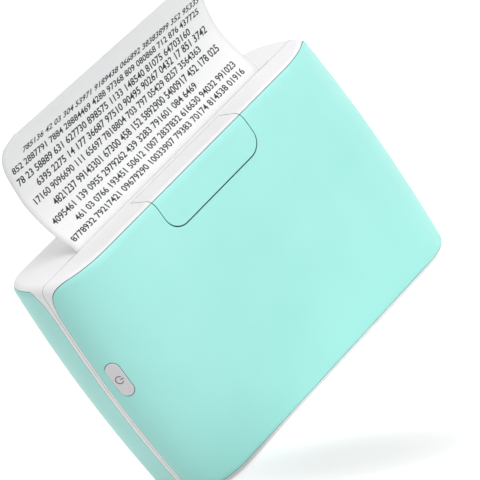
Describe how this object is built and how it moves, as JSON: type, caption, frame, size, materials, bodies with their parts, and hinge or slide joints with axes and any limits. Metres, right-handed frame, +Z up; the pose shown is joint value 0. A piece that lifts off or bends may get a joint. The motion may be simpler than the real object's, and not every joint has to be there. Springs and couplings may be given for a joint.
{
  "type": "portable label printer",
  "caption": "Slim upright thermal printer case that opens on a bottom hinge, with a top paper slot, release tab, power button, roll bay, feed roller and print head.",
  "frame": {"origin": "centre of the case's footprint, on the plane the feet stand on", "axes": "+Z up, front face towards -Y, +X to the viewer's right when facing the front"},
  "size_m": [0.154, 0.0494, 0.1534],
  "materials": {
    "cover_mint": "satin mint moulding",
    "frame_white": "satin white moulding",
    "tear_bar_steel": "plated steel",
    "panel_white": "white moulding",
    "panel_screws_steel": "plated steel",
    "pcb_green": "solder mask over laminate",
    "chip_black": "moulded packages",
    "battery_silver": "foil pouch",
    "pad_foam": "foam pad",
    "usb_port_steel": "plated steel",
    "usb_board_green": "solder mask",
    "button_board_green": "solder mask",
    "switch_black": "switch body",
    "motor_steel": "plated steel",
    "gear_plate_steel": "plated steel",
    "head_support_steel": "plated steel",
    "head_springs_steel": "plated steel",
    "sensor_black": "sensor body",
    "tab_axle_steel": "plated steel",
    "tab_spring_steel": "plated steel",
    "front_feet_rubber": "grey rubber pads",
    "hinge_pin_steel": "plated steel",
    "button_grey": "satin light grey moulding",
    "tab_mint": "satin mint moulding",
    "tab_white": "satin white moulding",
    "head_aluminium": "milled",
    "head_glaze": "glazed ceramic",
    "head_pivot_pin_steel": "plated steel",
    "upper_idler_white": "natural acetal",
    "lower_idler_white": "natural acetal",
    "pinion_brass": "machined brass",
    "motor_shaft_steel": "plated steel",
    "back_mint": "satin mint moulding",
    "lid_white": "satin white moulding",
    "lid_catches_steel": "plated steel",
    "bush_black": "black acetal",
    "strip_paper": "thermal paper",
    "bay_white": "white moulding",
    "rail_white": "white moulding",
    "back_feet_rubber": "grey rubber pads",
    "platen_rubber": "ground silicone rubber",
    "platen_shaft_steel": "plated steel",
    "platen_gear_white": "natural acetal",
    "roll_paper": "wound thermal paper",
    "core_card": "card tube",
    "guide_left_grey": "grey moulding",
    "guide_right_grey": "grey moulding",
    "guide_pinion_white": "natural acetal"
  },
  "bodies": {
    "root": {"front_cover": "cover_mint", "front_frame": "frame_white", "tear_bar": "tear_bar_steel", "inner_panel": "panel_white", "panel_screws": "panel_screws_steel", "main_pcb": "pcb_green", "board_components": "chip_black", "battery": "battery_silver", "battery_pad": "pad_foam", "usb_port": "usb_port_steel", "usb_board": "usb_board_green", "button_board": "button_board_green", "button_switch": "switch_black", "motor": "motor_steel", "gear_plate": "gear_plate_steel", "head_support": "head_support_steel", "head_springs": "head_springs_steel", "paper_sensor": "sensor_black", "tab_axle": "tab_axle_steel", "tab_spring": "tab_spring_steel", "front_feet": "front_feet_rubber", "hinge_pin": "hinge_pin_steel"},
    "power_button": {"power_button": "button_grey"},
    "release_tab": {"tab_cover": "tab_mint", "tab_lever": "tab_white"},
    "print_head": {"head_heatsink": "head_aluminium", "head_ceramic": "head_glaze", "head_pivot_pin": "head_pivot_pin_steel"},
    "upper_idler": {"upper_idler": "upper_idler_white"},
    "lower_idler": {"lower_idler": "lower_idler_white"},
    "motor_pinion": {"motor_pinion": "pinion_brass", "motor_shaft": "motor_shaft_steel"},
    "lid": {"back_cover": "back_mint", "lid_frame": "lid_white", "lid_catches": "lid_catches_steel", "platen_bushes": "bush_black", "paper_strip": "strip_paper", "paper_bay": "bay_white", "guide_rail": "rail_white", "back_feet": "back_feet_rubber"},
    "platen": {"platen_rubber": "platen_rubber", "platen_shaft": "platen_shaft_steel", "platen_gear": "platen_gear_white"},
    "paper_roll": {"paper_roll": "roll_paper", "roll_core": "core_card"},
    "guide_left": {"guide_left": "guide_left_grey"},
    "guide_right": {"guide_right": "guide_right_grey"},
    "guide_pinion": {"guide_pinion": "guide_pinion_white"}
  },
  "joints": [
    {"name": "lid_hinge", "type": "hinge", "parent": "root", "child": "lid", "pos_m": [0, -0.00725, 0.00265], "axis": [-1, 0, 0], "range_deg": [0, 80]},
    {"name": "tab_press", "type": "hinge", "parent": "root", "child": "release_tab", "pos_m": [0, -0.0193, 0.093], "axis": [1, 0, 0], "range_deg": [0, 3], "stiffness_Nm_per_rad": 0.5, "springref_deg": -2.86},
    {"name": "button_press", "type": "slide", "parent": "root", "child": "power_button", "axis": [0.8215, 0.5702, 0], "range_m": [0, 0.0004], "stiffness_N_per_m": 800, "springref_m": -0.001},
    {"name": "head_rock", "type": "hinge", "parent": "root", "child": "print_head", "pos_m": [0, -0.0094, 0.0816], "axis": [1, 0, 0], "range_deg": [0, 1.5], "stiffness_Nm_per_rad": 1, "springref_deg": -5.73},
    {"name": "platen_spin", "type": "hinge", "parent": "lid", "child": "platen", "pos_m": [0, -0.00135, 0.088], "axis": [1, 0, 0], "continuous": true},
    {"name": "upper_idler_spin", "type": "hinge", "parent": "root", "child": "upper_idler", "pos_m": [0, -0.01245, 0.088], "axis": [1, 0, 0], "continuous": true},
    {"name": "lower_idler_spin", "type": "hinge", "parent": "root", "child": "lower_idler", "pos_m": [0, -0.01287, 0.07591], "axis": [1, 0, 0], "continuous": true},
    {"name": "motor_pinion_spin", "type": "hinge", "parent": "root", "child": "motor_pinion", "pos_m": [0, -0.01503, 0.06655], "axis": [1, 0, 0], "continuous": true},
    {"name": "roll_spin", "type": "hinge", "parent": "lid", "child": "paper_roll", "pos_m": [0, 0.00715, 0.034], "axis": [1, 0, 0], "continuous": true},
    {"name": "guide_left_slide", "type": "slide", "parent": "lid", "child": "guide_left", "axis": [-1, 0, 0], "range_m": [0, 0.008], "stiffness_N_per_m": 60, "springref_m": -0.004},
    {"name": "guide_right_slide", "type": "slide", "parent": "lid", "child": "guide_right", "axis": [1, 0, 0], "range_m": [0, 0.008]},
    {"name": "guide_pinion_turn", "type": "hinge", "parent": "lid", "child": "guide_pinion", "pos_m": [0, 0.00715, 0.009], "axis": [0, 0, 1], "range_deg": [0, 153]}
  ],
  "couplings": [
    {"joint": "upper_idler_spin", "follows": "platen_spin", "ratio": -0.83333},
    {"joint": "lower_idler_spin", "follows": "platen_spin", "ratio": 0.83333},
    {"joint": "motor_pinion_spin", "follows": "platen_spin", "ratio": -1.4286},
    {"joint": "roll_spin", "follows": "platen_spin", "ratio": 0.37037},
    {"joint": "guide_right_slide", "follows": "guide_left_slide", "ratio": 1},
    {"joint": "guide_pinion_turn", "follows": "guide_left_slide", "rad_per_m": 333.33}
  ]
}
